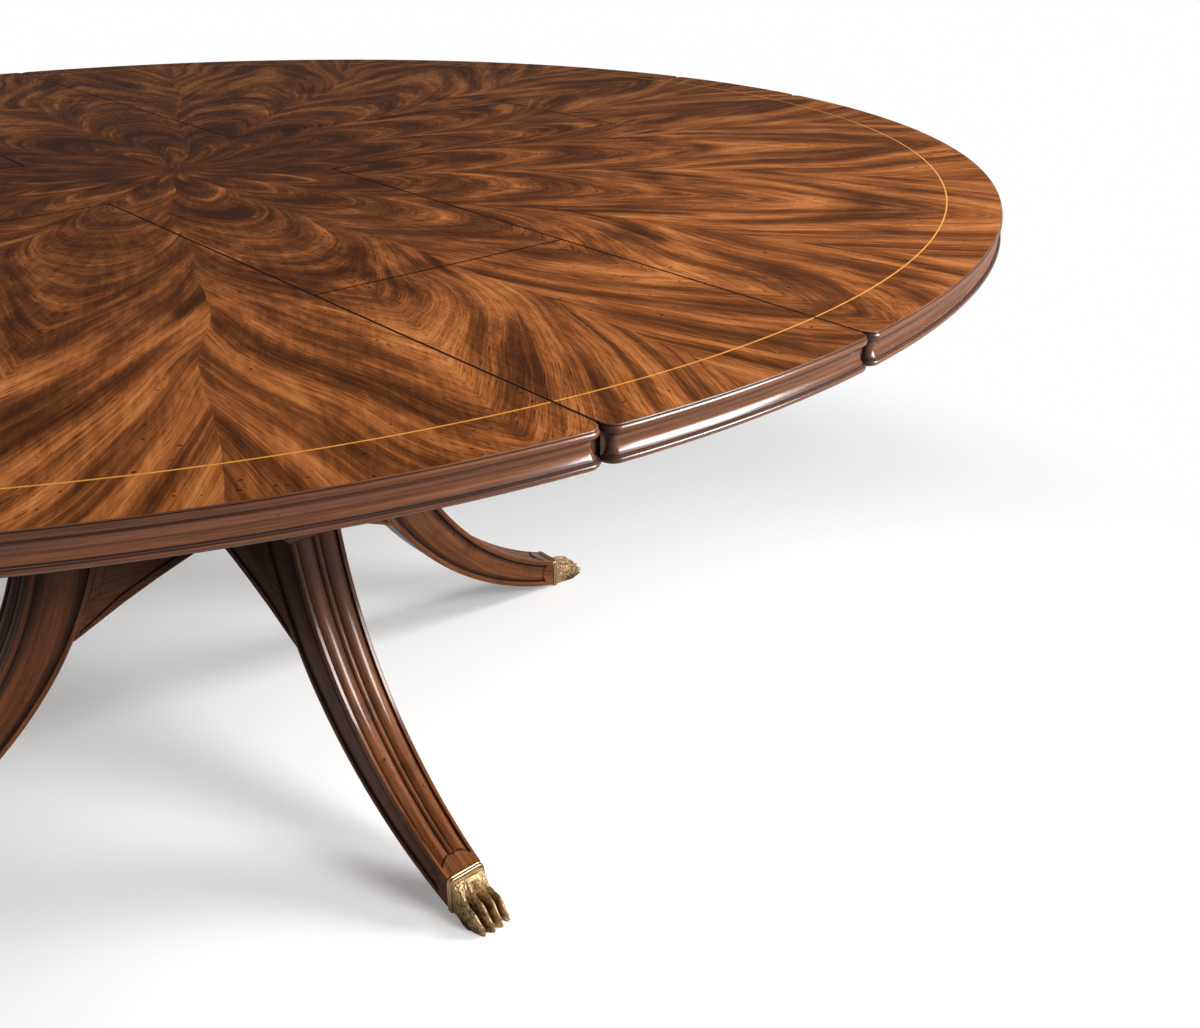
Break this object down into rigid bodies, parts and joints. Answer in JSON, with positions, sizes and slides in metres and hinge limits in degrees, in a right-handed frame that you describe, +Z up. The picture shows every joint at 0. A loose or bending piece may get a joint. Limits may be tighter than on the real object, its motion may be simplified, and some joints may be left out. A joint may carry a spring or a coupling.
{
  "type": "extending dining table",
  "caption": "Round extending dining table with a flame-veneered top of sliding quarters, lift-out leaves and a centre cross, on sabre legs with brass paw caps.",
  "frame": {"origin": "on the floor under the middle of the top", "axes": "+Z up; the front leaf points along -Y and the right leaf along +X; the quarters lie on the diagonals"},
  "size_m": [1.9, 1.9, 0.76],
  "materials": {
    "crotch_mahogany": "flame figure, satin polish",
    "edge_mahogany": "satin polish with worn edges",
    "boxwood": "polished inlay",
    "base_mahogany": "dark satin polish",
    "under_timber": "plain waxed timber",
    "antique_brass": "cast, antiqued",
    "steel": "plain",
    "brass": "satin"
  },
  "bodies": {
    "base": {"guide_back_right": "under_timber", "guide_back_left": "under_timber", "guide_front_left": "under_timber", "guide_front_right": "under_timber", "leg_right": "base_mahogany", "paw_right": "antique_brass", "column_right": "base_mahogany", "leg_back": "base_mahogany", "paw_back": "antique_brass", "column_back": "base_mahogany", "leg_left": "base_mahogany", "paw_left": "antique_brass", "column_left": "base_mahogany", "leg_front": "base_mahogany", "paw_front": "antique_brass", "column_front": "base_mahogany", "bearer_left_right": "under_timber", "bearer_front_back": "under_timber", "bed_board": "under_timber", "platform": "base_mahogany", "locating_pins": "brass", "leg_bolts": "steel", "paw_screws": "brass"},
    "quarter_back_right": {"quarter_back_right_panel": "crotch_mahogany", "quarter_back_right_moulding": "edge_mahogany", "quarter_back_right_string": "boxwood", "quarter_back_right_runner": "under_timber", "quarter_back_right_screws": "steel"},
    "button_back_right": {"quarter_back_right_turn_button": "brass"},
    "quarter_back_left": {"quarter_back_left_panel": "crotch_mahogany", "quarter_back_left_moulding": "edge_mahogany", "quarter_back_left_string": "boxwood", "quarter_back_left_runner": "under_timber", "quarter_back_left_screws": "steel"},
    "button_back_left": {"quarter_back_left_turn_button": "brass"},
    "quarter_front_left": {"quarter_front_left_panel": "crotch_mahogany", "quarter_front_left_moulding": "edge_mahogany", "quarter_front_left_string": "boxwood", "quarter_front_left_runner": "under_timber", "quarter_front_left_screws": "steel"},
    "button_front_left": {"quarter_front_left_turn_button": "brass"},
    "quarter_front_right": {"quarter_front_right_panel": "crotch_mahogany", "quarter_front_right_moulding": "edge_mahogany", "quarter_front_right_string": "boxwood", "quarter_front_right_runner": "under_timber", "quarter_front_right_screws": "steel"},
    "button_front_right": {"quarter_front_right_turn_button": "brass"},
    "leaf_right": {"leaf_right_panel": "crotch_mahogany", "leaf_right_moulding": "edge_mahogany", "leaf_right_string": "boxwood"},
    "leaf_back": {"leaf_back_panel": "crotch_mahogany", "leaf_back_moulding": "edge_mahogany", "leaf_back_string": "boxwood"},
    "leaf_left": {"leaf_left_panel": "crotch_mahogany", "leaf_left_moulding": "edge_mahogany", "leaf_left_string": "boxwood"},
    "leaf_front": {"leaf_front_panel": "crotch_mahogany", "leaf_front_moulding": "edge_mahogany", "leaf_front_string": "boxwood"},
    "centre_cross": {"centre_cross": "crotch_mahogany"}
  },
  "joints": [
    {"name": "quarter_back_right_slide", "type": "slide", "parent": "base", "child": "quarter_back_right", "axis": [0.7071, 0.7071, 0], "range_m": [0, 0.045]},
    {"name": "button_back_right_turn", "type": "hinge", "parent": "quarter_back_right", "child": "button_back_right", "pos_m": [0.76, 0.161, 0.7295], "axis": [0, 0, 1], "range_deg": [0, 90]},
    {"name": "quarter_back_left_slide", "type": "slide", "parent": "base", "child": "quarter_back_left", "axis": [-0.7071, 0.7071, 0], "range_m": [0, 0.045]},
    {"name": "button_back_left_turn", "type": "hinge", "parent": "quarter_back_left", "child": "button_back_left", "pos_m": [-0.161, 0.76, 0.7295], "axis": [0, 0, 1], "range_deg": [0, 90]},
    {"name": "quarter_front_left_slide", "type": "slide", "parent": "base", "child": "quarter_front_left", "axis": [-0.7071, -0.7071, 0], "range_m": [0, 0.045]},
    {"name": "button_front_left_turn", "type": "hinge", "parent": "quarter_front_left", "child": "button_front_left", "pos_m": [-0.76, -0.161, 0.7295], "axis": [0, 0, 1], "range_deg": [0, 90]},
    {"name": "quarter_front_right_slide", "type": "slide", "parent": "base", "child": "quarter_front_right", "axis": [0.7071, -0.7071, 0], "range_m": [0, 0.045]},
    {"name": "button_front_right_turn", "type": "hinge", "parent": "quarter_front_right", "child": "button_front_right", "pos_m": [0.161, -0.76, 0.7295], "axis": [0, 0, 1], "range_deg": [0, 90]},
    {"name": "leaf_right_lift", "type": "slide", "parent": "base", "child": "leaf_right", "axis": [0, 0, 1], "range_m": [0, 0.06]},
    {"name": "leaf_back_lift", "type": "slide", "parent": "base", "child": "leaf_back", "axis": [0, 0, 1], "range_m": [0, 0.06]},
    {"name": "leaf_left_lift", "type": "slide", "parent": "base", "child": "leaf_left", "axis": [0, 0, 1], "range_m": [0, 0.06]},
    {"name": "leaf_front_lift", "type": "slide", "parent": "base", "child": "leaf_front", "axis": [0, 0, 1], "range_m": [0, 0.06]},
    {"name": "centre_cross_lift", "type": "slide", "parent": "base", "child": "centre_cross", "axis": [0, 0, 1], "range_m": [0, 0.06]}
  ]
}
